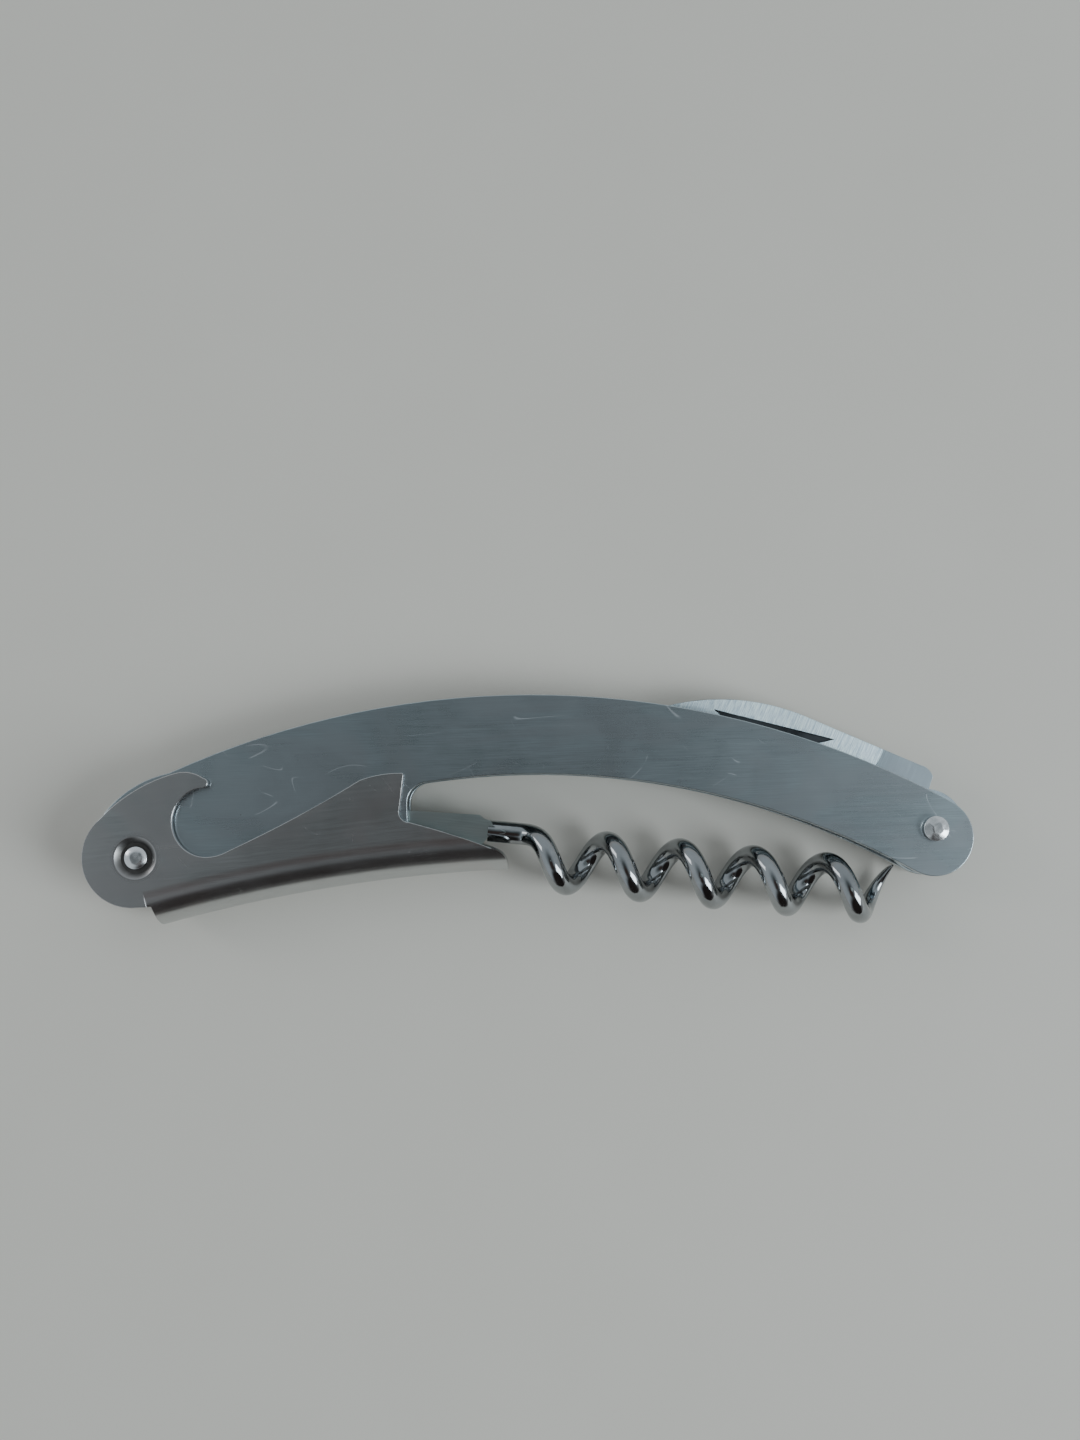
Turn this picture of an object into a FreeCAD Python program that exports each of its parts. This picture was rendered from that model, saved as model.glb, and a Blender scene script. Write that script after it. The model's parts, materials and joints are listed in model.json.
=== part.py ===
import FreeCAD, Part
import math
import os
import Sketcher

# Lever corkscrew (waiter's friend), folded and lying on its side.
#
# Working axes: origin on the lever's pivot, +X towards the blade's pivot, +Y towards the
# convex back of the handle, Z = 0 on the middle plane between the two scales. Every body is
# drawn there, and one last shift puts the origin under the middle of the folded tool.
# Lengths are millimetres and angles are degrees.

SIZES = {
    # handle: two sheet scales either side of a gap
    "pivot_span": 105.3,        # lever pivot to blade pivot
    "back_rise": 19.55,         # middle of the convex back above the line of pivots
    "belly_rise": 7.05,         # middle of the concave belly above the same line
    "scale_sheet": 1.7,
    "scale_gap": 3.4,
    "nose_radius": 5.2,         # round end of the handle at the blade
    "nose_drop": 1.1,           # its centre below the blade pivot
    "root_radius": 5.4,         # round end of the scales inside the lever's eye
    "edge_clearance": 0.43,     # scales' lower edge to the inside of the lever's bend
    # lever: one bent sheet, a round-bottomed channel open towards the handle
    "lever_sheet": 1.1,
    "cheek_clearance": 0.4,     # scale to cheek, each side
    "lever_reach": 50.0,        # highest point of the spine's arc, along X
    "spine_drop": 3.4,          # the same point below the line of pivots
    "spine_radius": 203.0,
    "spine_start": 1.8,         # where the bend ends beside the lever's eye
    "dimple_radius": 2.75,
    "dimple_floor_radius": 2.0,
    "dimple_depth": 0.6,
    "boss_radius": 2.6,
    "boss_gap": 0.1,            # boss to scale
    "step_back": 15.0,          # lever's tip end back to the step for a bottle's rim, along X
    # worm: wire coiled right-handed, with a flat tang and an eye
    "worm_pivot_x": 31.6,
    "worm_pivot_rise": 7.64,    # above the outside of the lever's spine
    "worm_tilt": 7.5,           # the coil's axis dips by this much when folded
    "wire_radius": 1.45,
    "coil_radius": 3.1,         # axis to the middle of the wire
    "coil_pitch": 9.92,
    "coil_turns": 4.93,
    "coil_start": 20.8,         # worm pivot to the start of the first full turn
    "shank_offset": 0.35,       # straight shank above the worm pivot
    "tang_thickness": 2.6,
    "tang_height": 4.0,
    "tang_length": 13.2,
    "worm_eye_radius": 3.6,
    # foil blade
    "blade_thickness": 1.6,
    "blade_edge": 0.3,          # thickness left along the ground edge
    "blade_choil": 9.6,         # blade pivot to the end of the ground faces
    "blade_tilt": 25.2,         # the blade's back rises by this much when folded
    "blade_length": 39.3,       # blade pivot to point
    "blade_back": 7.45,         # blade pivot to the straight back
    "blade_belly": 1.4,         # blade pivot to the edge
    "heel_radius": 6.2,
    "heel_notch": 4.9,          # round of the tang behind the back's corner
    "nick_length": 16.5,
    "nick_from_point": 6.6,     # point to the nick's near end, along the back
    "nick_depth": 0.4,
    # spacer between the scales
    "spacer_recess": 0.3,
    "spacer_depth": 3.6,
    "spacer_end": 36.5,         # blade pivot to the spacer's end, along X
    "spacer_rivet_x": 21.5,
    "spacer_rivet_y": 1.4,
    # rivets and washers
    "pivot_rivet_radius": 1.2,
    "lever_head_radius": 1.5,
    "lever_head_height": 0.55,
    "blade_head_radius": 1.65,
    "spacer_rivet_radius": 1.0,
    "washer_radius": 3.0,
    "running_clearance": 0.05,
}

doc = FreeCAD.newDocument("lever_corkscrew")
sheet = doc.addObject("Spreadsheet::Sheet", "Sizes")
for row, (alias, value) in enumerate(SIZES.items(), start=1):
    sheet.set(f"A{row}", alias)
    sheet.set(f"B{row}", str(value))
    sheet.setAlias(f"B{row}", alias)
doc.recompute()


def size(alias):
    return float(sheet.get(alias))


# ---------------------------------------------------------------- sketch and body helpers

def polar(centre, radius, degrees):
    turn = math.radians(degrees)
    return (centre[0] + radius * math.cos(turn), centre[1] + radius * math.sin(turn))


def offset(point, move):
    return (point[0] + move[0], point[1] + move[1])


def vector(point):
    return FreeCAD.Vector(point[0], point[1], 0)


def circle_through(first, second, third):
    """Centre and radius of the circle through three points."""
    circle = Part.Arc(vector(first), vector(second), vector(third)).toShape().Curve
    return (circle.Center.x, circle.Center.y), circle.Radius


def height_on(circle, along):
    """Y of the top of a circle at X = along."""
    (centre_x, centre_y), radius = circle
    return centre_y + math.sqrt(radius ** 2 - (along - centre_x) ** 2)


def new_body(label):
    body = doc.addObject("PartDesign::Body", label)
    body.Label = label
    return body


def new_sketch(body, name, role, lift=None):
    """Sketch on one of the body's own origin planes; lift is an expression along its normal."""
    plane = [feature for feature in body.Origin.OriginFeatures if feature.Role == role][0]
    sketch = body.newObject("Sketcher::SketchObject", name)
    sketch.AttachmentSupport = [(plane, "")]
    sketch.MapMode = "FlatFace"
    if lift:
        sketch.setExpression(".AttachmentOffset.Base.z", lift)
    return sketch


def draw(sketch, start, steps):
    """Closed outline: each step is (end,) for a line or (via, end) for an arc."""
    first = None
    previous = None
    here = start
    for step in steps:
        if len(step) == 1:
            edge = Part.LineSegment(vector(here), vector(step[0]))
        else:
            edge = Part.Arc(vector(here), vector(step[0]), vector(step[1]))
        index = sketch.addGeometry(edge, False)
        starts_here = sketch.getPoint(index, 1).isEqual(vector(here), 1e-6)
        ends = (1, 2) if starts_here else (2, 1)
        if previous is None:
            first = (index, ends[0])
        else:
            sketch.addConstraint(Sketcher.Constraint("Coincident", *previous, index, ends[0]))
        previous = (index, ends[1])
        here = step[-1]
    sketch.addConstraint(Sketcher.Constraint("Coincident", *previous, *first))


def draw_circle(sketch, radius, along=None, up=None):
    """Circle whose radius and centre are expressions of the sheet."""
    index = sketch.addGeometry(Part.Circle(FreeCAD.Vector(0.5, 0.5, 0), FreeCAD.Vector(0, 0, 1), 1))
    rule = sketch.addConstraint(Sketcher.Constraint("Radius", index, 1.0))
    sketch.setExpression(f"Constraints[{rule}]", radius)
    for kind, place in (("DistanceX", along), ("DistanceY", up)):
        rule = sketch.addConstraint(Sketcher.Constraint(kind, -1, 1, index, 3, 0.5))
        sketch.setExpression(f"Constraints[{rule}]", place or "0 mm")


def add_feature(body, kind, name, sketch, **expressions):
    """Sketch-based feature with its lengths bound to expressions."""
    feature = body.newObject(f"PartDesign::{kind}", name)
    feature.Profile = sketch
    sketch.Visibility = False
    for path, expression in expressions.items():
        feature.setExpression(path, expression)
    return feature


def pad_both_ways(body, sketch, thickness, name="Plate"):
    pad = add_feature(body, "Pad", name, sketch, Length=thickness)
    pad.Midplane = True
    return pad


def cut_through(body, sketch, name):
    pocket = add_feature(body, "Pocket", name, sketch)
    pocket.Type = 1
    pocket.Midplane = True
    return pocket


def turn_full(body, kind, sketch, name):
    """Revolution or Groove of a sketch about the body's Z direction through the origin."""
    feature = add_feature(body, kind, name, sketch)
    feature.ReferenceAxis = (sketch, ["V_Axis"])
    feature.Angle = 360
    return feature


def mirrored(points):
    return [(x, -y) for x, y in points]


def polygon(sketch, corners):
    draw(sketch, corners[0], [(corner,) for corner in corners[1:] + corners[:1]])


# ------------------------------------------------------------------ shared derived values

scale_half = size("scale_gap") / 2 + size("scale_sheet")
channel_half = scale_half + size("cheek_clearance")
lever_half = channel_half + size("lever_sheet")

# The lever's spine is an arc whose centre lies far below its highest point.
spine_top = (size("lever_reach"), -size("spine_drop"))
spine_circle = (offset(spine_top, (0, -size("spine_radius"))), size("spine_radius"))

# The scales' lower edge stays this far above the spine, so it clears the inside of the bend.
bend_corner = lever_half - math.sqrt(channel_half ** 2 - scale_half ** 2)
edge_over_spine = bend_corner + size("edge_clearance")
edge_circle = (spine_circle[0], size("spine_radius") + edge_over_spine)

# The scales' lobe around the worm's pivot comes down to that edge.
lever_pivot = (0.0, 0.0)
worm_pivot = (size("worm_pivot_x"),
              height_on(spine_circle, size("worm_pivot_x")) + size("worm_pivot_rise"))
blade_pivot = (size("pivot_span"), 0.0)
lobe_radius = size("worm_pivot_rise") - edge_over_spine

SCALE_HALF = "(Sizes.scale_gap / 2 + Sizes.scale_sheet)"
CHANNEL_HALF = f"({SCALE_HALF} + Sizes.cheek_clearance)"
LEVER_HALF = f"({CHANNEL_HALF} + Sizes.lever_sheet)"

# The handle's end at the blade is a half circle across the line NOSE_ANGLE.
NOSE_ANGLE = 59.4
nose_centre = offset(blade_pivot, (0, -size("nose_drop")))
back_right = polar(nose_centre, size("nose_radius"), NOSE_ANGLE)
nose_tip = polar(nose_centre, size("nose_radius"), NOSE_ANGLE - 90)
belly_right = polar(nose_centre, size("nose_radius"), NOSE_ANGLE + 180)
shoulder = (4.2, 11.0)
belly_left = offset(worm_pivot, (lobe_radius + 2.8, lobe_radius + 1.2))
back_middle = ((shoulder[0] + back_right[0]) / 2, size("back_rise"))
belly_middle = ((belly_left[0] + belly_right[0]) / 2, size("belly_rise"))
back_circle = circle_through(shoulder, back_middle, back_right)


# ---------------------------------------------------------------------------- the scales

ROOT_START = -81        # the round root's two ends, as angles about the lever's pivot
ROOT_END = 128


def handle_left_end(root, recess):
    """Outline steps around the handle's left end, from under the worm to the shoulder.

    The root stays small as far as ROOT_END, which leaves the opened lever's bend room to turn.
    """
    middle = (worm_pivot[0] / 2, height_on(edge_circle, worm_pivot[0] / 2) + recess)
    start_x, start_y = polar(lever_pivot, root, ROOT_START)
    root_start = (start_x, max(start_y, height_on(edge_circle, start_x) + recess))
    return [
        (middle, root_start),
        (polar(lever_pivot, root, 205), polar(lever_pivot, root, ROOT_END)),
        (offset(shoulder, (-8.65 + recess, -5.1)),),
        (offset(shoulder, (-6.4 + recess, -2.85 - recess)), offset(shoulder, (0, -recess))),
    ]


def draw_scale(sketch):
    lobe_side = offset(worm_pivot, (lobe_radius, 0))
    corner_start = offset(worm_pivot, (lobe_radius, 2.4))
    corner_via = offset(worm_pivot, (lobe_radius + 0.82, lobe_radius + 0.38))
    draw(sketch, shoulder, [
        (back_middle, back_right),
        (nose_tip, belly_right),
        (belly_middle, belly_left),
        (corner_via, corner_start),
        (lobe_side,),
        (polar(worm_pivot, lobe_radius, -40), polar(worm_pivot, lobe_radius, -81)),
    ] + handle_left_end(size("root_radius"), 0))


def make_scale(label, side):
    """One scale; side is 1 for the front one and -1 for the back one."""
    body = new_body(label)
    inner_face = "Sizes.scale_gap / 2" if side > 0 else f"-{SCALE_HALF}"
    outline = new_sketch(body, f"{label}_outline", "XY_Plane", inner_face)
    draw_scale(outline)
    add_feature(body, "Pad", f"{label}_plate", outline, Length="Sizes.scale_sheet")
    holes = new_sketch(body, f"{label}_holes", "XY_Plane")
    draw_circle(holes, "Sizes.pivot_rivet_radius")
    draw_circle(holes, "Sizes.pivot_rivet_radius", "Sizes.worm_pivot_x", f"{worm_pivot[1]} mm")
    draw_circle(holes, "Sizes.pivot_rivet_radius", "Sizes.pivot_span")
    draw_circle(holes, "Sizes.spacer_rivet_radius", "Sizes.spacer_rivet_x", "Sizes.spacer_rivet_y")
    body.Tip = cut_through(body, holes, f"{label}_rivet_holes")


# ---------------------------------------------------------------------------- the spacer

WORM_ROOM = 0.5         # spacer to the worm's eye and tang


def make_spacer():
    body = new_body("centre_spacer")
    recess = size("spacer_recess")
    depth = size("spacer_depth")
    centre, radius = back_circle
    outer = (centre, radius - recess)
    inner = (centre, radius - recess - depth)
    end_x = blade_pivot[0] - size("spacer_end")
    room = size("worm_eye_radius") + WORM_ROOM
    strip_left = worm_pivot[0] + 1.4
    # the swung-out worm points straight down, with its tang's side just clear of this corner
    tang_side = size("tang_height") / 2 - size("shank_offset") + WORM_ROOM
    corner = -90 - size("worm_tilt") - math.degrees(math.asin(tang_side / room))
    middle_x = (shoulder[0] + end_x) / 2
    inner_middle_x = (strip_left + end_x) / 2
    outline = new_sketch(body, "spacer_outline", "XY_Plane")
    start = offset(shoulder, (0, -recess))
    draw(outline, start, [
        ((middle_x, height_on(outer, middle_x)), (end_x, height_on(outer, end_x))),
        ((end_x + 0.5, height_on(outer, end_x) - depth / 2), (end_x, height_on(inner, end_x))),
        ((inner_middle_x, height_on(inner, inner_middle_x)),
         (strip_left, height_on(inner, strip_left))),
        (polar(worm_pivot, room, 80),),
        (polar(worm_pivot, room, 170), polar(worm_pivot, room, corner)),
    ] + handle_left_end(size("root_radius") - recess, recess))
    pad_both_ways(body, outline, "Sizes.scale_gap", "spacer_plate")
    holes = new_sketch(body, "spacer_holes", "XY_Plane")
    draw_circle(holes, "Sizes.pivot_rivet_radius")
    draw_circle(holes, "Sizes.spacer_rivet_radius", "Sizes.spacer_rivet_x", "Sizes.spacer_rivet_y")
    body.Tip = cut_through(body, holes, "spacer_rivet_holes")


# ----------------------------------------------------------------------------- the lever

EYE_BOTTOM = -6.48      # lower edge of the eye's flat plates, where the bend starts


def spine_turn():
    """Angle at the centre of the spine's arc, from its highest point to where the bend ends."""
    (centre_x, centre_y), _ = spine_circle
    return math.degrees(math.atan2(centre_x - size("spine_start"), EYE_BOTTOM - centre_y))


def draw_lever(sketch):
    """Side view of the lever; the spine's silhouette is cut afterwards, so this runs below it."""
    spine_centre, spine_radius = spine_circle
    below = (spine_centre, spine_radius - 1.5)
    start_x = size("spine_start")
    start_below = polar(spine_centre, below[1], 90 + spine_turn())
    tip_x = size("lever_reach") - 1.35
    tip_y = height_on(spine_circle, tip_x)
    middle_x = (start_x + tip_x) / 2
    step = size("lever_reach") - size("step_back")
    draw(sketch, (start_x, EYE_BOTTOM), [
        (start_below,),
        ((middle_x, height_on(below, middle_x)), (tip_x, height_on(below, tip_x))),
        ((tip_x, tip_y + 0.3),),
        ((tip_x - 0.42, tip_y + 1.85), (tip_x - 1.65, tip_y + 2.8)),
        # sloping edge up to the step that hooks over a bottle's rim
        ((step + 7.3, 1.27), (step + 1.0, 3.36)),
        ((step - 0.05, 3.85), (step - 0.36, 4.7)),
        ((step + 0.36, 9.5),),
        ((step + 0.3, 9.78), (step, 9.88)),
        ((step - 2.8, 9.74), (step - 5.4, 9.12)),
        # long edge down to the crown cap hook's throat
        ((20.66, 4.36), (12.3, 0.56)),
        ((10.9, 0.0), (9.4, -0.21)),
        ((4.87, 4.36), (8.2, 8.75)),
        ((9.0, 8.82),),
        # hook nose
        ((9.66, 9.42), (9.1, 10.15)),
        ((7.6, 10.88), (5.6, 10.95)),
        # upper edge and the round eye
        ((-0.45, 8.5), (-4.55, 5.25)),
        ((-6.95, -0.6), (0.1, EYE_BOTTOM)),
        ((start_x, EYE_BOTTOM),),
    ])


def make_lever():
    body = new_body("lever")
    outline = new_sketch(body, "lever_outline", "XY_Plane")
    draw_lever(outline)
    pad_both_ways(body, outline, f"2 * {LEVER_HALF}", "lever_blank")

    spine_y = -size("spine_drop")
    axis_y = spine_y - size("spine_radius")
    bend_y = spine_y + lever_half
    top_y = bend_y + 40
    side = lever_half + 2

    # Sketches across the lever, on the plane that holds the axis of the spine's arc.
    hollow = new_sketch(body, "channel_section", "YZ_Plane", "Sizes.lever_reach")
    draw(hollow, (top_y, channel_half), [
        ((bend_y, channel_half),),
        ((bend_y - channel_half, 0), (bend_y, -channel_half)),
        ((top_y, -channel_half),),
        ((top_y, channel_half),),
    ])
    outside = new_sketch(body, "bend_section", "YZ_Plane", "Sizes.lever_reach")
    draw(outside, (bend_y, lever_half), [
        ((bend_y - lever_half, 0), (bend_y, -lever_half)),
        ((bend_y, -side),),
        ((spine_y - 3, -side),),
        ((spine_y - 3, side),),
        ((bend_y, side),),
        ((bend_y, lever_half),),
    ])
    bend_turn = spine_turn() + 0.1
    for section, name, angle in ((hollow, "channel_hollow", 20.0), (outside, "bend_round", bend_turn)):
        axis = section.addGeometry(
            Part.LineSegment(FreeCAD.Vector(axis_y, -10, 0), FreeCAD.Vector(axis_y, 10, 0)), True)
        section.addConstraint(Sketcher.Constraint("Vertical", axis))
        groove = add_feature(body, "Groove", name, section)
        groove.ReferenceAxis = (section, ["Axis0"])
        groove.Angle = angle

    # The eye's plates stay flat inside, right to their lower edge.
    eye_room = new_sketch(body, "eye_room", "XY_Plane")
    eye_right = size("spine_start") - 0.4
    polygon(eye_room, [(-10, -9), (eye_right, -9), (eye_right, 2), (-10, 2)])
    room = add_feature(body, "Pocket", "eye_flat_inside", eye_room, Length=f"2 * {CHANNEL_HALF}")
    room.Midplane = True

    # A boss pressed in each cheek bears on the scale, under the dimple for the rivet's head.
    boss_in = scale_half + size("boss_gap")
    hole = size("pivot_rivet_radius") + size("running_clearance")
    boss = [(hole, channel_half + 0.2), (size("boss_radius"), channel_half + 0.2),
            (size("boss_radius") - 0.3, boss_in), (hole, boss_in)]
    bosses = new_sketch(body, "boss_section", "XZ_Plane")
    polygon(bosses, boss)
    polygon(bosses, mirrored(boss))
    turn_full(body, "Revolution", bosses, "pivot_bosses")
    dimple = [(0, lever_half + 1), (size("dimple_radius") + 1, lever_half + 1),
              (size("dimple_radius"), lever_half),
              (size("dimple_floor_radius"), lever_half - size("dimple_depth")),
              (hole, lever_half - size("dimple_depth"))]
    dimples = new_sketch(body, "dimple_section", "XZ_Plane")
    polygon(dimples, dimple + mirrored(dimple)[::-1])
    body.Tip = turn_full(body, "Groove", dimples, "rivet_dimples")


# ------------------------------------------------------------------------------ the worm

TANG_SPREAD = 0.35      # the tang is this much lower at the eye than at the wire
WIRE_FROM_TANG = 1.4    # the round wire begins this far into the tang's forged end


def tang_outline():
    """Flat of the tang and eye, with the worm pivot at the origin and the coil's axis along X."""
    top = size("shank_offset") + size("tang_height") / 2
    bottom = size("shank_offset") - size("tang_height") / 2
    eye = size("worm_eye_radius")
    end = size("tang_length")
    top_turn = math.degrees(math.asin((top - TANG_SPREAD) / eye))
    bottom_turn = math.degrees(math.asin(bottom / eye))
    # from the eye's lower side, around the forged end where the wire begins, and back
    corners = [
        polar((0, 0), eye, bottom_turn),
        (end, bottom),
        (end + 0.9, bottom + 0.25),
        (end + 1.4, bottom + 1.05),
        (end + 2.3, size("shank_offset") + 0.3),
        (end + 1.7, top - 0.65),
        (end + 0.75, top - 0.45),
        (end + 0.1, top),
        polar((0, 0), eye, top_turn),
    ]
    points = [vector(corner) for corner in corners]
    edges = [Part.makeLine(here, after) for here, after in zip(points, points[1:])]
    edges.append(Part.Arc(points[-1], vector((-eye, 0)), points[0]).toShape())
    return Part.Wire(edges)


BEND_RUN = 4.0          # length over which the shank bends into the coil
TAPER_TURNS = 0.47      # the wire is ground to a point over this much of its last turn
POINT_RADIUS = 0.14
SECTIONS_PER_TURN = 14


def evenly(start, end, count):
    return [start + (end - start) * i / count for i in range(count + 1)]


def wire_place(along):
    """Middle of the wire and its radius, for a distance along the coil's axis."""
    bend_start = size("coil_start") - BEND_RUN / 2
    rate = 2 * math.pi / size("coil_pitch")
    if along <= bend_start:
        turned = 0.0
    elif along < bend_start + BEND_RUN:
        turned = rate * (along - bend_start) ** 2 / (2 * BEND_RUN)
    else:
        turned = rate * (along - size("coil_start"))
    left = size("coil_turns") - turned / (2 * math.pi)
    share = min(1.0, max(0.0, left / TAPER_TURNS))
    radius = POINT_RADIUS + (size("wire_radius") - POINT_RADIUS) * share ** 0.65
    out = size("coil_radius") + 0.65 * (size("wire_radius") - radius)
    axis_y = size("shank_offset") - size("coil_radius")
    middle = FreeCAD.Vector(along, axis_y + out * math.cos(turned), out * math.sin(turned))
    return middle, radius


def wire_solid():
    """Round wire: straight shank and coil as one sweep, then a loft down to the point."""
    coil_end = size("coil_start") + size("coil_turns") * size("coil_pitch")
    taper_start = coil_end - TAPER_TURNS * size("coil_pitch")
    bend_start = size("coil_start") - BEND_RUN / 2
    shank_start = size("tang_length") + WIRE_FROM_TANG
    turns = (taper_start - bend_start) / size("coil_pitch")
    shank = evenly(shank_start, bend_start, 3)[:-1]
    coil = evenly(bend_start, taper_start, int(turns * SECTIONS_PER_TURN))
    taper = evenly(taper_start, coil_end, 7)
    line = Part.BSplineCurve()
    line.interpolate([wire_place(along)[0] for along in shank + coil[:-1] + taper])

    def section(along):
        middle, radius = wire_place(along)
        spot = line.parameter(middle)
        return Part.Wire([Part.Circle(line.value(spot), line.tangent(spot)[0], radius).toShape()])

    swept = line.copy()
    swept.segment(line.FirstParameter, line.parameter(wire_place(taper_start)[0]))
    body = Part.Wire([swept.toShape()]).makePipeShell([section(shank_start)], True, False)
    point = Part.makeLoft([section(along) for along in taper], True)
    return body.fuse(point)


def make_worm():
    half = size("tang_thickness") / 2
    flat = Part.Face(tang_outline())
    flat.translate(FreeCAD.Vector(0, 0, -half))
    tang = flat.extrude(FreeCAD.Vector(0, 0, 2 * half))
    hole_radius = size("pivot_rivet_radius") + size("running_clearance")
    hole = Part.makeCylinder(hole_radius, 4 * half, FreeCAD.Vector(0, 0, -2 * half))
    worm = doc.addObject("Part::Feature", "worm")
    worm.Label = "worm"
    worm.Shape = tang.cut(hole).fuse(wire_solid())
    worm.Placement = FreeCAD.Placement(
        vector(worm_pivot), FreeCAD.Rotation(FreeCAD.Vector(0, 0, 1), -size("worm_tilt")))


# ----------------------------------------------------------------------------- the blade

def make_blade():
    """Foil blade, drawn with its straight back along X and its pivot at the origin."""
    body = new_body("foil_blade")
    back = size("blade_back")
    belly = -size("blade_belly")
    point_x = -size("blade_length")
    heel = size("heel_radius")
    notch = size("heel_notch")
    outline = new_sketch(body, "blade_outline", "XY_Plane")
    draw(outline, (point_x, 1.0), [
        ((point_x + 8.6, 5.75), (point_x + 18.0, back)),
        ((-4.2, back),),
        ((-2.75, back - 0.22), (-2.1, back - 0.75)),
        # notch behind the corner, then the round tang and its heel
        ((-1.95, notch),),
        (polar((0, 0), notch, 30), polar((0, 0), notch, -28)),
        (polar((0, 0), 5.35, -48), polar((0, 0), heel, -66)),
        (polar((0, 0), heel, -95), polar((0, 0), heel, -125)),
        ((-4.9, -3.2), (-6.4, belly)),
        ((point_x + 9.0, belly),),
        ((point_x + 3.2, -0.75), (point_x, 1.0)),
    ])
    pad_both_ways(body, outline, "Sizes.blade_thickness", "blade_blank")

    # Both sides are ground from near the back down to a thin edge, up to the choil.
    grind_top = back - 0.95
    face = size("blade_thickness") / 2
    wedge = [(grind_top, face), (grind_top, face + 1), (belly - 2, face + 1),
             (belly - 2, size("blade_edge") / 2 - 0.1)]
    grind = new_sketch(body, "grind_section", "YZ_Plane")
    polygon(grind, wedge)
    polygon(grind, mirrored(wedge))
    grind.setExpression(".AttachmentOffset.Base.z", "-Sizes.blade_choil")
    add_feature(body, "Pocket", "blade_grind", grind, Length="Sizes.blade_length + 5")

    nick = new_sketch(body, "nick_outline", "XY_Plane", "Sizes.blade_thickness / 2")
    nick_x = point_x + size("nick_from_point")
    nick_end = (nick_x + size("nick_length"), back - 1.35)
    nick_middle = nick_x + size("nick_length") / 2
    draw(nick, (nick_x, back - 3.95), [
        ((nick_middle, back - 2.7), nick_end),
        ((nick_middle + 0.9, back - 4.75), (nick_x, back - 3.95)),
    ])
    add_feature(body, "Pocket", "nail_nick", nick, Length="Sizes.nick_depth")
    hole = new_sketch(body, "blade_hole", "XY_Plane")
    draw_circle(hole, "Sizes.pivot_rivet_radius + Sizes.running_clearance")
    body.Tip = cut_through(body, hole, "blade_pivot_hole")
    body.Placement = FreeCAD.Placement(
        vector(blade_pivot), FreeCAD.Rotation(FreeCAD.Vector(0, 0, 1), -size("blade_tilt")))


# ------------------------------------------------------------------- rivets and washers

def dome(radius, base, top):
    """Arc step from (radius, base) over to the axis, part of a sphere centred on the axis."""
    rise = top - base
    sphere = (radius ** 2 + rise ** 2) / (2 * rise)
    half_turn = math.asin(radius / sphere) / 2
    via = (sphere * math.sin(half_turn), top - sphere * (1 - math.cos(half_turn)))
    return (via, (0, top))


def make_turned(label, half_outline, place):
    """Rivet turned about Z from the upper half of its outline, (radius, height) pairs."""
    body = new_body(label)
    section = new_sketch(body, f"{label}_section", "XZ_Plane")
    start, steps = half_outline[0], half_outline[1:]
    lower = []
    for step, end in zip(reversed(steps), reversed([start] + [item[-1] for item in steps[:-1]])):
        lower.append(tuple(mirrored(step[:-1])) + ((end[0], -end[1]),))
    draw(section, start, steps + [((0, -steps[-1][-1][1]),)] + lower)
    body.Tip = turn_full(body, "Revolution", section, f"{label}_turned")
    body.Placement.Base = vector(place)
    return body


def make_rivets():
    shank = size("pivot_rivet_radius")
    head_under = lever_half - size("lever_head_height")
    lever_head = size("lever_head_radius")
    lever_rivet = [
        (shank, 0), ((shank, head_under),), ((lever_head, head_under),),
        ((lever_head, lever_half - 0.15),),
        dome(lever_head, lever_half - 0.15, lever_half),
    ]
    flush_pivot = [(shank, 0), ((shank, scale_half),), ((0, scale_half),)]
    flush_spacer = [(size("spacer_rivet_radius"), 0), ((size("spacer_rivet_radius"), scale_half),),
                    ((0, scale_half),)]
    blade_head = size("blade_head_radius")
    blade_rivet = [
        (shank, 0), ((shank, scale_half),), ((blade_head, scale_half),),
        ((blade_head, scale_half + 0.35),),
        dome(blade_head, scale_half + 0.35, lever_half),
    ]
    spacer_place = (size("spacer_rivet_x"), size("spacer_rivet_y"))
    make_turned("lever_pivot_rivet", lever_rivet, lever_pivot)
    make_turned("worm_pivot_rivet", flush_pivot, worm_pivot)
    make_turned("spacer_rivet", flush_spacer, spacer_place)
    make_turned("blade_pivot_rivet", blade_rivet, blade_pivot)


def make_washers(part_name, part_thickness, place):
    """Two washers that fill the gap either side of a swinging part, less the running clearance."""
    thickness = f"(Sizes.scale_gap - {part_thickness}) / 2 - Sizes.running_clearance"
    for side in ("front", "back"):
        body = new_body(f"{part_name}_washer_{side}")
        start = f"Sizes.scale_gap / 2 - ({thickness})" if side == "front" else "-Sizes.scale_gap / 2"
        ring = new_sketch(body, f"{part_name}_ring_{side}", "XY_Plane", start)
        draw_circle(ring, "Sizes.washer_radius")
        draw_circle(ring, "Sizes.pivot_rivet_radius")
        body.Tip = add_feature(body, "Pad", f"{part_name}_disc_{side}", ring, Length=thickness)
        body.Placement.Base = vector(place)


# ------------------------------------------------------------------ assembly and checking

make_scale("front_scale", 1)
make_scale("back_scale", -1)
make_spacer()
make_lever()
make_worm()
make_blade()
make_rivets()
make_washers("worm", "Sizes.tang_thickness", worm_pivot)
make_washers("blade", "Sizes.blade_thickness", blade_pivot)
doc.recompute()

parts = [thing for thing in doc.Objects
         if thing.TypeId == "PartDesign::Body" or thing.Label == "worm"]

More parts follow.
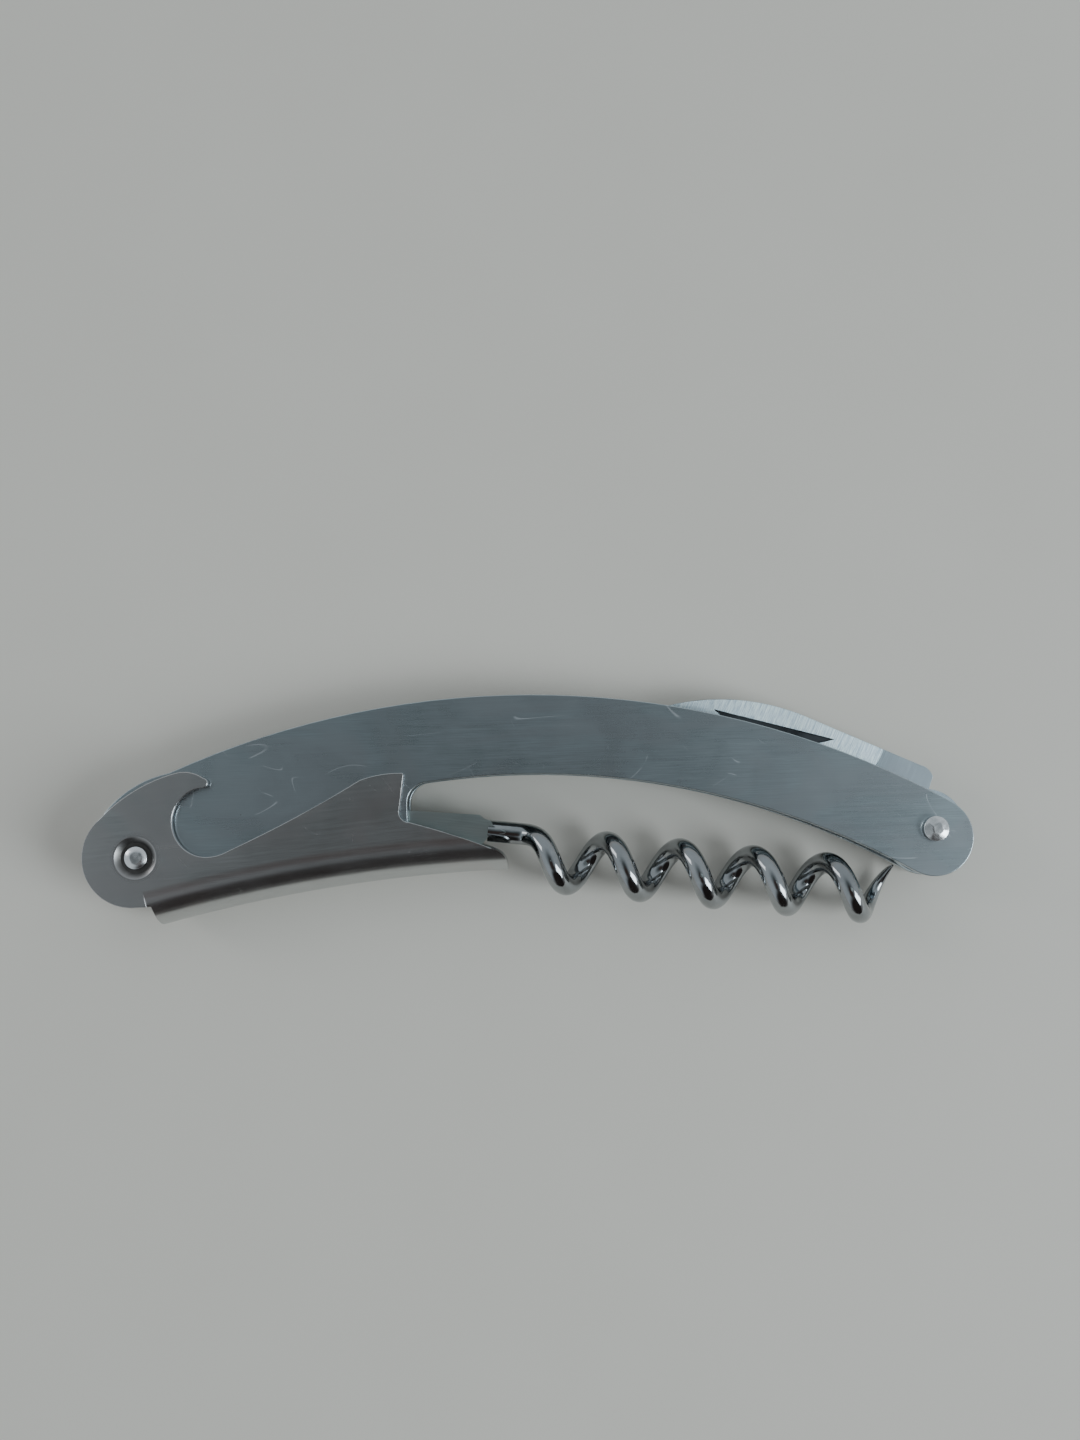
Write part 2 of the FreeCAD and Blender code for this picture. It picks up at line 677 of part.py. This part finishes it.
# The origin goes under the middle of the folded tool, on the face it lies on.
low = [min(getattr(part.Shape.optimalBoundingBox(False), end) for part in parts)
       for end in ("XMin", "YMin", "ZMin")]
high = [max(getattr(part.Shape.optimalBoundingBox(False), end) for part in parts)
        for end in ("XMax", "YMax", "ZMax")]
shift = FreeCAD.Vector(-(low[0] + high[0]) / 2, -(low[1] + high[1]) / 2, -low[2])
for part in parts:
    part.Placement.Base = part.Placement.Base + shift
doc.recompute()

for thing in doc.Objects:
    if "Invalid" in thing.State or "Error" in thing.State:
        raise RuntimeError(f"{thing.Label} failed: {thing.State}")

os.makedirs("parts", exist_ok=True)
for part in parts:
    if part.Shape.isNull() or not part.Shape.isValid() or len(part.Shape.Solids) != 1:
        raise RuntimeError(f"{part.Label} is not one valid solid")
    part.Shape.exportStep(f"parts/{part.Label}.step")
    box = part.Shape.optimalBoundingBox(False)
    print(f"{part.Label}: {part.Shape.Volume:.1f} mm3,"
          f" x {box.XMin:.2f}..{box.XMax:.2f}, y {box.YMin:.2f}..{box.YMax:.2f},"
          f" z {box.ZMin:.2f}..{box.ZMax:.2f}")
print(f"worm pivot at {shift.x + worm_pivot[0]:.3f}, {shift.y + worm_pivot[1]:.3f}")
print(f"lever pivot at {shift.x:.3f}, {shift.y:.3f}; size"
      f" {high[0] - low[0]:.2f} x {high[1] - low[1]:.2f} x {high[2] - low[2]:.2f}")
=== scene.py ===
import bmesh
import bpy
import json
import math
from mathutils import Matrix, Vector


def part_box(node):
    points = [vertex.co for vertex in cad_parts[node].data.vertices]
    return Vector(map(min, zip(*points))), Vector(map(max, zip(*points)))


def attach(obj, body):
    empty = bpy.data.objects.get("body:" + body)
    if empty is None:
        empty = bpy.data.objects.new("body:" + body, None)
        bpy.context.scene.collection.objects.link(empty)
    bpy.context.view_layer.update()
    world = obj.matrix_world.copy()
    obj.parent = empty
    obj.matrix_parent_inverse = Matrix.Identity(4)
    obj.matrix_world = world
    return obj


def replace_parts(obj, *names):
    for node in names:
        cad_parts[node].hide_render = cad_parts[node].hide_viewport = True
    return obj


# Looks of a folded lever corkscrew: satin brushed steel scales, a bent sheet lever, a dark
# polished worm and a ground foil blade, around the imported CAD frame. Lengths are in metres,
# except where a comment says mm.

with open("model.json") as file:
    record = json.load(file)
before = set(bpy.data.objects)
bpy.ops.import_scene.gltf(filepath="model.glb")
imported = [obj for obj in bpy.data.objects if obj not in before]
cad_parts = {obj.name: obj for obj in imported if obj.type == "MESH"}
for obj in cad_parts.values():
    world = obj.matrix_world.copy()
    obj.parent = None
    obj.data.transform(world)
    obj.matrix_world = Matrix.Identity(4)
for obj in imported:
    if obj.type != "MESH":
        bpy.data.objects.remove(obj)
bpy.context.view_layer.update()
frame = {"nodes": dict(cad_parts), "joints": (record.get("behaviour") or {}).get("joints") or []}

scene = bpy.context.scene
MM = 0.001


def joint_place(name):
    """Place of a joint's axis at rest."""
    joint = [item for item in frame["joints"] if item["name"] == name][0]
    return Vector(joint["pos_m"])


lever_pivot = joint_place("lever_swing")
blade_pivot = joint_place("blade_swing")

# ------------------------------------------------------------------------------- camera
# Held almost straight above the tool, leaning a little and turned a little.
CAMERA_PLACE = (0.00008, 0.00001, 0.1913)
CAMERA_TURN = (3.94, -0.41, -2.09)      # degrees about X, Y and Z
CAMERA_LENS = 34.5                      # mm
FILM_SIDE = 36.0                        # mm, the film's long side


def make_camera():
    data = bpy.data.cameras.new("camera")
    data.lens = CAMERA_LENS
    data.sensor_width = FILM_SIDE
    data.clip_start = 0.005
    data.clip_end = 10.0
    camera = bpy.data.objects.new("camera", data)
    camera.location = CAMERA_PLACE
    camera.rotation_euler = [math.radians(turn) for turn in CAMERA_TURN]
    scene.collection.objects.link(camera)
    scene.camera = camera


# -------------------------------------------------------------------------- node helpers

class Nodes:
    """Short way to add and link the nodes of one material or world."""

    def __init__(self, tree):
        self.tree = tree
        tree.nodes.clear()

    def add(self, kind, **inputs):
        """New node; inputs name sockets, and each is a number, a colour or another socket."""
        node = self.tree.nodes.new("ShaderNode" + kind)
        for name, value in inputs.items():
            self.put(node.inputs[name.replace("_", " ")], value)
        return node

    def put(self, socket, value):
        """Link another socket to a socket, or set its value."""
        if isinstance(value, bpy.types.NodeSocket):
            self.tree.links.new(value, socket)
        else:
            socket.default_value = value

    def maths(self, operation, first, second=0.0, clamp=False):
        node = self.tree.nodes.new("ShaderNodeMath")
        node.operation = operation
        node.use_clamp = clamp
        self.put(node.inputs[0], first)
        self.put(node.inputs[1], second)
        return node.outputs[0]

    def ramp(self, value, low, high, out_low=0.0, out_high=1.0):
        """Smooth change from out_low to out_high as value goes from low to high."""
        node = self.tree.nodes.new("ShaderNodeMapRange")
        node.interpolation_type = "SMOOTHSTEP"
        for socket, number in zip(node.inputs[:5], (value, low, high, out_low, out_high)):
            self.put(socket, number)
        return node.outputs[0]

    def mix(self, share, first, second):
        """Colour that is first where share is 0 and second where it is 1."""
        node = self.tree.nodes.new("ShaderNodeMix")
        node.data_type = "RGBA"
        self.put(node.inputs["Factor"], share)
        self.put(node.inputs[6], first)
        self.put(node.inputs[7], second)
        return node.outputs[2]

    def place(self, stretch=(1, 1, 1), turn=0.0):
        """Object coordinates in metres, with X turned by turn degrees, and then stretched."""
        coords = self.tree.nodes.new("ShaderNodeTexCoord").outputs["Object"]
        turned = self.add("Mapping", Vector=coords)
        turned.inputs["Rotation"].default_value = (0, 0, math.radians(-turn))
        mapping = self.add("Mapping", Vector=turned.outputs[0])
        mapping.inputs["Scale"].default_value = stretch
        return mapping.outputs[0]

    def along(self, direction):
        """A direction of the piece at rest, carried along when the piece moves."""
        node = self.tree.nodes.new("ShaderNodeVectorTransform")
        node.vector_type = "VECTOR"
        node.convert_from = "OBJECT"
        node.convert_to = "WORLD"
        node.inputs[0].default_value = direction
        return node.outputs[0]

    def near_axis(self, centre, inside, outside):
        """1 within inside metres of an upright axis, falling to 0 at outside."""
        coords = self.tree.nodes.new("ShaderNodeTexCoord").outputs["Object"]
        split = self.add("SeparateXYZ", Vector=coords)
        flat = self.add("CombineXYZ", X=split.outputs[0], Y=split.outputs[1])
        gap = self.tree.nodes.new("ShaderNodeVectorMath")
        gap.operation = "DISTANCE"
        self.put(gap.inputs[0], flat.outputs[0])
        self.put(gap.inputs[1], (centre[0], centre[1], 0))
        return self.ramp(gap.outputs["Value"], inside, outside, 1.0, 0.0)

    def noise(self, vector, scale, detail=2.0, rough=0.5, distort=0.0):
        return self.add("TexNoise", Vector=vector, Scale=scale, Detail=detail,
                        Roughness=rough, Distortion=distort).outputs[0]


# ----------------------------------------------------------------------------- materials
# A noise's scale is in features per metre. A stretch drawn out along X gives grinding lines.

FINE_GRINDING = (220, 7500, 7500)
BROAD_GRINDING = (45, 3200, 3200)
SCRATCH_STRETCH = (0.45, 1.0, 1.0)      # scratches run a little along the grinding
SCRATCH_COLOUR = (0.85, 0.87, 0.9, 1)
PIT_COLOUR = (0.07, 0.07, 0.08, 1)
PIT_SCALE = 420.0
PIT_RADIUS = 0.11 * MM
# Painted shade, with some soiling, that darkens the steel around a pivot's hollow.
SHADE_AND_SOILING_COLOUR = (0.09, 0.085, 0.08, 1)
RELIEF = 0.02 * MM                      # depth of the bump


def new_material(name):
    material = bpy.data.materials.new(name)
    material.use_nodes = True
    return material, Nodes(material.node_tree)


def scratches(nodes, turn, cells, width, cover, seed):
    """Thin curved scratches: 1 on a scratch, 0 elsewhere.

    Each scratch is a stretch of a contour line of a smooth noise, so scratches never branch.
    Cells is the noise's scale, width is in metres, and cover is the share that may have scratches.
    """
    base = nodes.add("VectorMath", Vector=nodes.place(SCRATCH_STRETCH, turn))
    base.operation = "ADD"
    base.inputs[1].default_value = (seed, seed * 0.7, 0)
    swell = nodes.noise(base.outputs[0], cells, 0.0)
    off_line = nodes.maths("ABSOLUTE", nodes.maths("SUBTRACT", swell, 0.5))
    line = nodes.ramp(off_line, 0.0, width * cells, 1.0, 0.0)
    where = nodes.ramp(nodes.noise(base.outputs[0], cells * 1.7, 2.0), 1 - cover, 1.06 - cover)
    return nodes.maths("MULTIPLY", line, where)


def pits(nodes, scale, radius, cover):
    """Small round pits: 1 in the middle of a pit. Cover is the share of cells with a pit."""
    spots = nodes.add("TexVoronoi", Vector=nodes.place(), Scale=scale)
    dot = nodes.ramp(spots.outputs["Distance"], 0.0, radius * scale, 1.0, 0.0)
    pick = nodes.add("SeparateColor", Color=spots.outputs["Color"]).outputs[0]
    chosen = nodes.maths("GREATER_THAN", pick, 1 - cover)
    return nodes.maths("MULTIPLY", dot, chosen)


def brushed_steel(name, colour, roughness, turn=0.0, spread=0.4, brush=0.5, wear=0.5,
                  pitted=0.0, shade_and_soiling=None, grain=0.10):
    """Satin steel ground along X turned by turn degrees, with fine scratches and smudges.

    Spread is how far its highlights are drawn out across the grinding. Brush is the depth of
    the grinding lines, grain their contrast, wear how much the scratches show, and pitted the
    share of cells with a pit. The last argument but one, if given, is (centre, inside, outside):
    an upright axis around which the steel is darkened, mostly painted shade in the hollow round a
    rivet, with some soiling.
    """
    material, nodes = new_material(name)
    fine = nodes.noise(nodes.place(FINE_GRINDING, turn), 1.0, 4.0, 0.7)
    broad = nodes.noise(nodes.place(BROAD_GRINDING, turn), 1.0, 2.0, 0.6)
    cloud = nodes.noise(nodes.place(), 120.0, 4.0, 0.6, 0.5)
    smudge = nodes.noise(nodes.place((1, 1.6, 1)), 46.0, 3.0, 0.55, 1.2)
    long_marks = scratches(nodes, turn + 7, cells=140.0, width=0.03 * MM, cover=0.45, seed=0.13)
    cross_marks = scratches(nodes, turn - 48, cells=210.0, width=0.02 * MM, cover=0.43, seed=0.37)
    marks = nodes.maths("ADD", long_marks, cross_marks, clamp=True)

    lighter = tuple(min(1.0, channel * (1 + grain)) for channel in colour)
    darker = tuple(channel * (1 - grain) for channel in colour)
    tone = nodes.mix(nodes.ramp(fine, 0.3, 0.7), (*darker, 1), (*lighter, 1))
    warmer = (colour[0] * 1.04, colour[1] * 0.985, colour[2] * 0.98)
    tone = nodes.mix(nodes.ramp(smudge, 0.45, 0.62, 0.0, 0.8), tone, (*warmer, 1))
    tone = nodes.mix(nodes.maths("MULTIPLY", marks, 0.35 * wear), tone, SCRATCH_COLOUR)
    rough = nodes.maths("ADD", nodes.ramp(cloud, 0.3, 0.7, roughness - 0.015, roughness + 0.025),
                        nodes.maths("MULTIPLY", nodes.maths("SUBTRACT", broad, 0.5), 0.06))
    rough = nodes.maths("ADD", rough, nodes.maths("MULTIPLY", marks, 0.10 * wear), clamp=True)
    height = nodes.maths("ADD", nodes.maths("MULTIPLY", fine, 0.6 * brush),
                         nodes.maths("MULTIPLY", broad, 0.4 * brush))
    height = nodes.maths("SUBTRACT", height, nodes.maths("MULTIPLY", marks, 0.25 * wear))
    if pitted:
        holes = pits(nodes, PIT_SCALE, PIT_RADIUS, pitted)
        tone = nodes.mix(nodes.maths("MULTIPLY", holes, 0.8), tone, PIT_COLOUR)
        height = nodes.maths("SUBTRACT", height, nodes.maths("MULTIPLY", holes, 2.0))
    # Painted shade round the axis: darkest in the hollow, and dulling the highlight on its slopes,
    # with some soiling. The steel is rougher there too.
    if shade_and_soiling:
        shade_and_soiling_share = nodes.near_axis(*shade_and_soiling)
        shade_and_soiling_share = nodes.maths("MULTIPLY", shade_and_soiling_share, nodes.ramp(cloud, 0.25, 0.6, 0.65, 1.0))
        tone = nodes.mix(shade_and_soiling_share, tone, SHADE_AND_SOILING_COLOUR)
        rough = nodes.maths("ADD", rough, nodes.maths("MULTIPLY", shade_and_soiling_share, 0.2), clamp=True)
    bump = nodes.add("Bump", Height=height, Strength=0.3, Distance=RELIEF)
    shader = nodes.add("BsdfPrincipled", Base_Color=tone, Metallic=1.0, Roughness=rough,
                       Normal=bump.outputs[0], Anisotropic=spread)
    across = math.radians(turn + 90)
    nodes.put(shader.inputs["Tangent"], nodes.along((math.cos(across), math.sin(across), 0)))
    nodes.add("OutputMaterial", Surface=shader.outputs[0])
    return material


def polished_steel(name, colour, roughness, swirl=200.0):
    """Polished steel with a little haze and small spots. Swirl is the haze's scale."""
    material, nodes = new_material(name)
    haze = nodes.noise(nodes.place(), swirl, 4.0, 0.6, 0.8)
    spots = nodes.noise(nodes.place(), swirl * 9, 2.0, 0.5)
    darker = tuple(channel * 0.82 for channel in colour)
    tone = nodes.mix(nodes.ramp(haze, 0.35, 0.65), (*darker, 1), (*colour, 1))
    rough = nodes.maths("ADD", nodes.ramp(haze, 0.3, 0.75, roughness * 0.7, roughness * 1.5),
                        nodes.ramp(spots, 0.55, 0.8, 0.0, 0.06), clamp=True)
    height = nodes.maths("ADD", haze, nodes.maths("MULTIPLY", spots, 0.25))
    bump = nodes.add("Bump", Height=height, Strength=0.25, Distance=RELIEF)
    shader = nodes.add("BsdfPrincipled", Base_Color=tone, Metallic=1.0, Roughness=rough,
                       Normal=bump.outputs[0])
    nodes.add("OutputMaterial", Surface=shader.outputs[0])
    return material


# ---------------------------------------------------------------------------------- mesh

WELD = 0.002 * MM                   # corners closer than this are one
FLAT = math.radians(0.05)           # faces that meet at less than this are one
SHARP = math.radians(30)            # edges over this angle are rounded, or stay crisp
FOLDED = math.radians(100)          # an edge over this angle is a fold that rounding made
CLEAR_OF_FOLD = 0.35 * MM           # edges this near a fold stay as they are
ROUNDS = 5                          # tries at rounding without a fold
RING = 64                           # corners round a rivet
DOME_STEPS = 14                     # rings of corners on a rivet's dome
DOME_POWER = 2.4                    # how squarely a dome falls at its rim
RIVET_EDGE = 0.08 * MM
SHANK_RADIUS = 1.2 * MM
WORM_TILT = 7.5                     # degrees that the worm's axis dips when folded
TANG_END = 13.3                     # mm from the worm's pivot
TANG_EDGE = 0.12 * MM
BLADE_TILT = 25.2                   # degrees that its back rises when folded
BLADE_CHOIL = 9.6 * MM              # pivot to the end of the grinding
CROSSWISE = 90 - BLADE_TILT         # degrees, the blade's grinding from its edge to its back
NICK_FLOOR = 0.38 * MM              # above the blade's middle
NICK_TOP = 0.72 * MM
NICK, ROOT, WIRE = 1, 2, 1          # material places on the blade and on the worm


def clean_mesh(node):
    """CAD node as one welded mesh, with each flat face in one piece."""
    bm = bmesh.new()
    bm.from_mesh(frame["nodes"][node].data)
    bmesh.ops.remove_doubles(bm, verts=bm.verts, dist=WELD)
    bmesh.ops.dissolve_limit(bm, angle_limit=FLAT, verts=bm.verts, edges=bm.edges)
    return bm


def round_edges(node, radius, avoid, wanted):
    """Clean mesh of a node with its outer edges rounded, and the places where that folds."""
    bm = clean_mesh(node)
    edges = [edge for edge in bm.edges
             if edge.calc_face_angle(0) > SHARP and edge.is_convex
             and all(wanted(end.co) for end in edge.verts)
             and not any((end.co - place).length < CLEAR_OF_FOLD
                         for end in edge.verts for place in avoid)]
    bmesh.ops.bevel(bm, geom=edges, offset=radius, offset_type="OFFSET", segments=3,
                    profile=0.5, affect="EDGES", clamp_overlap=False, loop_slide=True)
    folds = [edge.verts[0].co.copy() for edge in bm.edges if edge.calc_face_angle(0) > FOLDED]
    return bm, folds


def rounded_copy(node, name, body, material, radius, wanted=lambda place: True):
    """Cleaned copy of a CAD node with its outer edges rounded, shown in the node's place."""
    avoid = []
    for _ in range(ROUNDS):
        bm, folds = round_edges(node, radius, avoid, wanted)
        if not folds:
            break
        avoid += folds
        bm.free()
    else:
        bm, _ = round_edges(node, radius, avoid, wanted)
    for face in bm.faces:
        face.smooth = True
    for edge in bm.edges:
        edge.smooth = edge.calc_face_angle(0) < SHARP
    mesh = bpy.data.meshes.new(name)
    bm.to_mesh(mesh)
    bm.free()
    piece = add_piece(name, mesh, body, material)
    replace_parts(piece, node)
    return piece


def add_piece(name, mesh, body, material):
    mesh.materials.append(material)
    piece = bpy.data.objects.new(name, mesh)
    scene.collection.objects.link(piece)
    weighted = piece.modifiers.new("even_shading", "WEIGHTED_NORMAL")
    weighted.keep_sharp = True
    weighted.weight = 100
    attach(piece, body)
    return piece


def ring_angles():
    return [2 * math.pi * spot / RING for spot in range(RING)]


def peened_rivet(node, name, material, base, rise, blows):
    """Turned rivet with a low dome on both ends, flattened by hammer blows.

    Base is the height of the head's underside and rise the dome's height. A blow is
    (direction in degrees, slope, depth in mm).
    """
    low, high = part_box(node)
    middle = (low + high) / 2
    head = (high.x - low.x) / 2
    top = high.z - middle.z
    base -= middle.z

    def dome(radius, angle):
        x, y = radius * math.cos(angle), radius * math.sin(angle)
        height = top - rise * (radius / head) ** DOME_POWER
        for direction, slope, depth in blows:
            turn = math.radians(direction)
            plane = top - depth * MM - slope * (x * math.cos(turn) + y * math.sin(turn))
            height = min(height, plane)
        return x, y, height

    rings = []
    for step in range(1, DOME_STEPS + 1):
        radius = (head - RIVET_EDGE) * step / DOME_STEPS
        rings.append([dome(radius, angle) for angle in ring_angles()])
    last = rings[-1]
    for turn in (30, 60, 90):
        out = RIVET_EDGE * math.sin(math.radians(turn))
        down = RIVET_EDGE * (1 - math.cos(math.radians(turn)))
        wide = head - RIVET_EDGE + out
        rings.append([(wide * math.cos(angle), wide * math.sin(angle), corner[2] - down)
                      for angle, corner in zip(ring_angles(), last)])
    for radius in (head, SHANK_RADIUS):
        rings.append([(radius * math.cos(angle), radius * math.sin(angle), base)
                      for angle in ring_angles()])
    rings += [[(x, y, -z) for x, y, z in ring] for ring in reversed(rings)]

    corners = [(0, 0, dome(0, 0)[2])] + [corner for ring in rings for corner in ring]
    corners.append((0, 0, -dome(0, 0)[2]))
    faces = []
    for spot in range(RING):
        after = (spot + 1) % RING
        faces.append((0, 1 + spot, 1 + after))
        for ring in range(len(rings) - 1):
            here = 1 + ring * RING
            faces.append((here + spot, here + RING + spot, here + RING + after, here + after))
        here = 1 + (len(rings) - 1) * RING
        faces.append((here + spot, len(corners) - 1, here + after))
    mesh = bpy.data.meshes.new(name)
    mesh.from_pydata([Vector(corner) + middle for corner in corners], [], faces)
    for face in mesh.polygons:
        face.use_smooth = True
    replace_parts(add_piece(name, mesh, "handle", material), node)


def finish_blade(nick, root):
    """Painted shade in the nail nick, on its floor and walls, and a duller root beside the
    grinding with a painted highlight along its rim.
    """
    mesh = bpy.data.objects["blade_leaf"].data
    mesh.materials.append(nick)
    mesh.materials.append(root)
    turn = math.radians(180 - BLADE_TILT)
    outward = Vector((math.cos(turn), math.sin(turn), 0))
    choil = blade_pivot + outward * BLADE_CHOIL
    bm = bmesh.new()
    bm.from_mesh(mesh)
    bmesh.ops.bisect_plane(bm, geom=bm.verts[:] + bm.edges[:] + bm.faces[:], dist=WELD,
                           plane_co=choil, plane_no=outward)
    bm.to_mesh(mesh)
    bm.free()
    for face in mesh.polygons:
        depth = face.center.z - blade_pivot.z
        floor = face.normal.z > 0.99999 and depth < NICK_TOP
        wall = abs(face.normal.z) < 0.9 and NICK_FLOOR < depth < NICK_TOP
        # The nick's floor and walls take the near-black material: painted shade in the recess.
        if floor or wall:
            face.material_index = NICK
        # Only the root's flat faces take the duller steel. Its rounded edges keep the brighter
        # blade steel: a painted highlight along the root's rim.
        elif (face.center - choil).dot(outward) < 0 and abs(face.normal.z) > 0.9:
            face.material_index = ROOT


def make_worm(tang_steel, wire_steel):
    """The worm with its tang's edges rounded, satin on the tang and polished on the wire."""
    turn = math.radians(-WORM_TILT)
    centre = sum(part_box("worm_pivot_rivet"), Vector()) / 2

    def along(place):
        """Distance in mm from the worm's pivot, along its axis."""
        return ((place.x - centre.x) * math.cos(turn) + (place.y - centre.y) * math.sin(turn)) / MM

    piece = rounded_copy("worm", "worm_and_tang", "worm_screw", tang_steel,
                         TANG_EDGE, lambda place: along(place) < TANG_END - 0.5)
    piece.data.materials.append(wire_steel)
    for face in piece.data.polygons:
        flat = abs(face.normal.z) > 0.999
        if along(face.center) > TANG_END and not flat:
            face.material_index = WIRE


# --------------------------------------------------------------------- light and backdrop

FLOOR_HALF = 6.0                    # metres
FLOOR_DROP = 0.02 * MM              # below the tool, so that their faces don't mix


def make_floor():
    mesh = bpy.data.meshes.new("floor")
    signs = [(-1, -1), (1, -1), (1, 1), (-1, 1)]
    corners = [(x * FLOOR_HALF, y * FLOOR_HALF, -FLOOR_DROP) for x, y in signs]
    mesh.from_pydata(corners, [], [(0, 1, 2, 3)])
    material, nodes = new_material("pale_floor")
    cloud = nodes.noise(nodes.place(), 40.0, 3.0)
    tone = nodes.mix(cloud, (0.72, 0.68, 0.61, 1), (0.76, 0.72, 0.65, 1))
    shader = nodes.add("BsdfPrincipled", Base_Color=tone, Roughness=0.6)
    nodes.add("OutputMaterial", Surface=shader.outputs[0])
    mesh.materials.append(material)
    floor = bpy.data.objects.new("floor", mesh)
    scene.collection.objects.link(floor)


def make_area(name, place, width, height, radiance, colour):
    """Soft rectangular light that faces the tool; its power is radiance times area times pi."""
    data = bpy.data.lights.new(name, "AREA")
    data.shape = "RECTANGLE"
    data.size = width
    data.size_y = height
    data.energy = radiance * math.pi * width * height
    data.color = colour
    light = bpy.data.objects.new(name, data)
    light.location = place
    light.rotation_euler = (-Vector(place)).to_track_quat("-Z", "Y").to_euler()
    scene.collection.objects.link(light)


def make_world():
    """A room: dim straight overhead, lighter towards its walls, dark on the near side."""
    world = bpy.data.worlds.new("studio")
    scene.world = world
    world.use_nodes = True
    nodes = Nodes(world.node_tree)
    direction = nodes.tree.nodes.new("ShaderNodeTexCoord").outputs["Generated"]
    height = nodes.add("SeparateXYZ", Vector=direction).outputs[2]

    def away_from(place):
        """Distance between a direction of the sky and another one."""
        gap = nodes.tree.nodes.new("ShaderNodeVectorMath")
        gap.operation = "DISTANCE"
        nodes.put(gap.inputs[0], direction)
        nodes.put(gap.inputs[1], place)
        return gap.outputs["Value"]

    sky = nodes.mix(nodes.ramp(away_from((-0.06, 0.0, 1.0)), 0.02, 0.75),
                    (0.098, 0.120, 0.127, 1), (0.56, 0.62, 0.66, 1))
    sky = nodes.mix(nodes.ramp(height, 0.0, 0.35, 1.0, 0.0), sky, (0.52, 0.52, 0.51, 1))
    brown = nodes.ramp(away_from((0.01, -0.28, 0.96)), 0.14, 0.45, 0.95, 0.0)
    sky = nodes.mix(brown, sky, (0.064, 0.043, 0.038, 1))
    near = nodes.ramp(away_from((0.30, -0.85, 0.42)), 0.45, 0.88, 1.0, 0.0)
    sky = nodes.mix(near, sky, (0.030, 0.025, 0.024, 1))
    background = nodes.add("Background", Color=sky, Strength=1.0)
    nodes.add("OutputWorld", Surface=background.outputs[0])


# ------------------------------------------------------------------------------ assembly

make_camera()
make_floor()
make_world()
make_area("window_light", (0.76, -0.31, 0.58), 0.40, 0.7, 7.2, (0.84, 0.94, 1.0))
make_area("left_fill", (-0.80, 0.34, 0.34), 0.25, 0.5, 2.5, (0.98, 0.99, 1.0))

scale_steel = brushed_steel("scale_steel", (0.49, 0.57, 0.603), 0.28, spread=0.35, brush=1.0,
                            wear=1.3, pitted=0.10)
# The lever's steel is darkened round its pivot rivet: painted shade in the dimple and on its
# slopes, with some soiling.
lever_steel = brushed_steel("lever_steel", (0.56, 0.57, 0.57), 0.24, turn=4.0, spread=0.2,
                            brush=0.7, wear=0.25, shade_and_soiling=(lever_pivot, 2.0 * MM, 3.4 * MM))
blade_steel = brushed_steel("blade_steel", (0.64, 0.82, 0.96), 0.34, turn=CROSSWISE, spread=0.85,
                            brush=3.5, wear=0.4, grain=0.36)
blade_root_steel = brushed_steel("blade_root_steel", (0.40, 0.48, 0.525), 0.32, turn=CROSSWISE,
                                 spread=0.6, brush=1.5, wear=0.4)
# A near-black material for the nail nick: painted shade in its recess.
nick_shade = polished_steel("nick_shade", (0.10, 0.11, 0.12), 0.3)
tang_steel = brushed_steel("tang_steel", (0.53, 0.61, 0.60), 0.30, turn=-WORM_TILT, spread=0.3,
                           brush=0.8, wear=0.4)
wire_steel = polished_steel("worm_chrome", (0.37, 0.385, 0.395), 0.09)
rivet_steel = polished_steel("rivet_steel", (0.86, 0.87, 0.88), 0.20, swirl=900.0)
washer_steel = brushed_steel("washer_steel", (0.5, 0.5, 0.52), 0.35)

PIECES = [
    # node, piece, body, slot, material, edge radius in mm
    ("front_scale", "front_scale_plate", "handle", "handle_steel", scale_steel, 0.11),
    ("back_scale", "back_scale_plate", "handle", "handle_steel", scale_steel, 0.11),
    ("centre_spacer", "spacer_plate", "handle", "spacer_steel", washer_steel, 0.08),
    ("lever", "lever_sheet", "lever_arm", "lever_steel", lever_steel, 0.10),
    ("foil_blade", "blade_leaf", "blade_arm", "blade_steel", blade_steel, 0.06),
    ("worm_pivot_rivet", "worm_rivet", "handle", "rivet_steel", rivet_steel, 0.08),
    ("spacer_rivet", "flush_rivet", "handle", "rivet_steel", rivet_steel, 0.08),
    ("worm_washer_front", "worm_ring_front", "handle", "washer_steel", washer_steel, 0.06),
    ("worm_washer_back", "worm_ring_back", "handle", "washer_steel", washer_steel, 0.06),
    ("blade_washer_front", "blade_ring_front", "handle", "washer_steel", washer_steel, 0.06),
    ("blade_washer_back", "blade_ring_back", "handle", "washer_steel", washer_steel, 0.06),
]
for node, name, body, slot, material, radius in PIECES:
    rounded_copy(node, name, body, material, radius * MM)
finish_blade(nick_shade, blade_root_steel)
make_worm(tang_steel, wire_steel)
peened_rivet("lever_pivot_rivet", "lever_rivet", rivet_steel,
             base=9.25 * MM, rise=0.35 * MM,
             blows=[(0, 0.02, 0.08), (200, 0.24, -0.10), (320, 0.27, -0.14), (75, 0.22, -0.08)])
peened_rivet("blade_pivot_rivet", "blade_rivet", rivet_steel,
             base=8.3 * MM, rise=0.42 * MM,
             blows=[(40, 0.03, 0.07), (185, 0.34, -0.12), (255, 0.30, -0.14), (15, 0.32, -0.16),
                    (110, 0.30, -0.10)])
